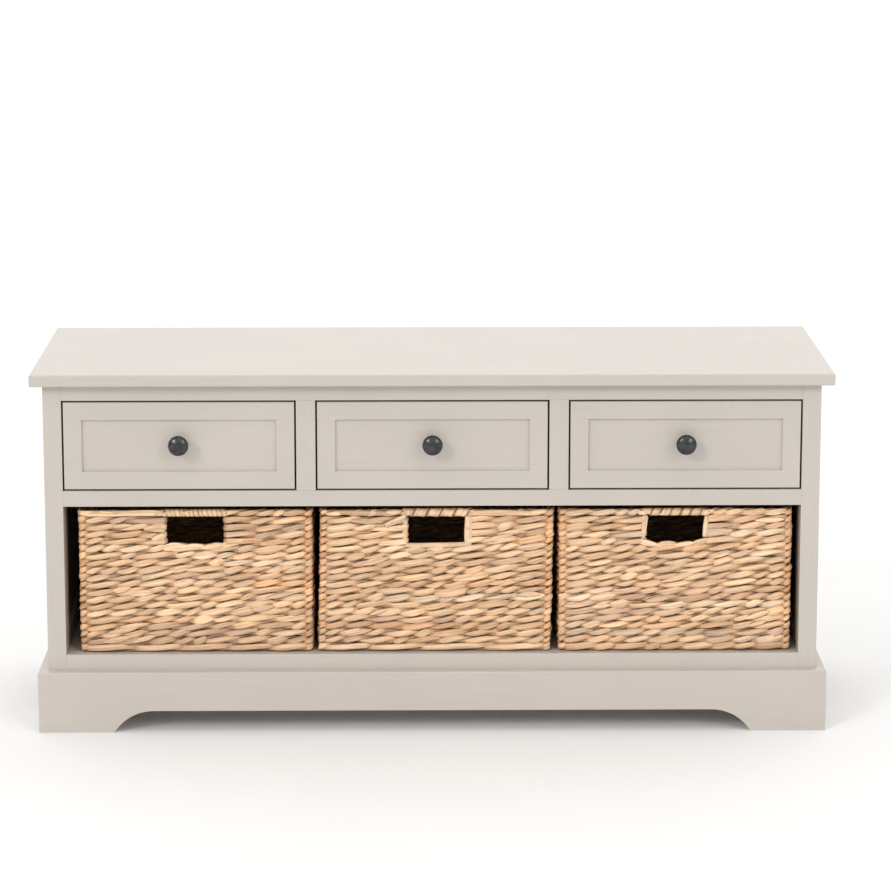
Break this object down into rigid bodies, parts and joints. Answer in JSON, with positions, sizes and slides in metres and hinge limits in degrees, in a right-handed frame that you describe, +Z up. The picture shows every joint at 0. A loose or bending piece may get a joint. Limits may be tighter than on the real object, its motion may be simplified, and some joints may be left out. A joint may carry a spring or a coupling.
{
  "type": "storage bench",
  "caption": "Low painted wooden entryway bench: a row of inset drawers over an open bay of woven pull-out baskets, on a plinth with cut-out feet.",
  "frame": {"origin": "floor level, at the centre of the footprint with the knobs", "axes": "+X along the width, to the right of a person who faces the drawers; -Y out of the front; +Z up"},
  "size_m": [1, 0.347, 0.46],
  "materials": {
    "paint": "satin warm grey-white paint",
    "bare_wood": "planed, unfinished",
    "plywood": "sanded, unfinished",
    "dark_metal": "satin dark pewter",
    "screw_steel": "zinc plated",
    "weave": "dried plant fibre",
    "wire": "dark brown coating"
  },
  "bodies": {
    "carcass": {"left_front_post": "paint", "left_back_post": "paint", "left_side_top_rail": "paint", "left_side_bottom_rail": "paint", "left_side_panel": "paint", "left_plinth": "paint", "right_front_post": "paint", "right_back_post": "paint", "right_side_top_rail": "paint", "right_side_bottom_rail": "paint", "right_side_panel": "paint", "right_plinth": "paint", "seat_field_panel": "paint", "seat_front_rail": "paint", "seat_back_rail": "paint", "seat_left_end": "paint", "seat_right_end": "paint", "face_top_rail": "paint", "face_middle_rail": "paint", "face_bottom_rail": "paint", "left_drawer_divider": "paint", "right_drawer_divider": "paint", "back_panel": "paint", "basket_shelf": "paint", "plinth_front": "paint", "back_top_rail": "bare_wood", "drawer_deck": "bare_wood", "deck_battens": "bare_wood", "shelf_battens": "bare_wood", "drawer_guides_and_stops": "bare_wood", "top_bearers": "bare_wood", "top_fixing_screws": "screw_steel", "back_panel_screws": "screw_steel"},
    "drawer_1": {"drawer_1_front": "paint", "drawer_1_left_side": "bare_wood", "drawer_1_right_side": "bare_wood", "drawer_1_back": "bare_wood", "drawer_1_bottom": "plywood", "drawer_1_knob": "dark_metal", "drawer_1_knob_screw": "screw_steel"},
    "drawer_2": {"drawer_2_front": "paint", "drawer_2_left_side": "bare_wood", "drawer_2_right_side": "bare_wood", "drawer_2_back": "bare_wood", "drawer_2_bottom": "plywood", "drawer_2_knob": "dark_metal", "drawer_2_knob_screw": "screw_steel"},
    "drawer_3": {"drawer_3_front": "paint", "drawer_3_left_side": "bare_wood", "drawer_3_right_side": "bare_wood", "drawer_3_back": "bare_wood", "drawer_3_bottom": "plywood", "drawer_3_knob": "dark_metal", "drawer_3_knob_screw": "screw_steel"},
    "basket_1": {"basket_1_weave": "weave", "basket_1_wire_frame": "wire"},
    "basket_2": {"basket_2_weave": "weave", "basket_2_wire_frame": "wire"},
    "basket_3": {"basket_3_weave": "weave", "basket_3_wire_frame": "wire"}
  },
  "joints": [
    {"name": "drawer_1_slide", "type": "slide", "parent": "carcass", "child": "drawer_1", "axis": [0, -1, 0], "range_m": [0, 0.22]},
    {"name": "drawer_2_slide", "type": "slide", "parent": "carcass", "child": "drawer_2", "axis": [0, -1, 0], "range_m": [0, 0.22]},
    {"name": "drawer_3_slide", "type": "slide", "parent": "carcass", "child": "drawer_3", "axis": [0, -1, 0], "range_m": [0, 0.22]},
    {"name": "basket_1_slide", "type": "slide", "parent": "carcass", "child": "basket_1", "axis": [0, -1, 0], "range_m": [0, 0.15]},
    {"name": "basket_2_slide", "type": "slide", "parent": "carcass", "child": "basket_2", "axis": [0, -1, 0], "range_m": [0, 0.15]},
    {"name": "basket_3_slide", "type": "slide", "parent": "carcass", "child": "basket_3", "axis": [0, -1, 0], "range_m": [0, 0.15]}
  ]
}
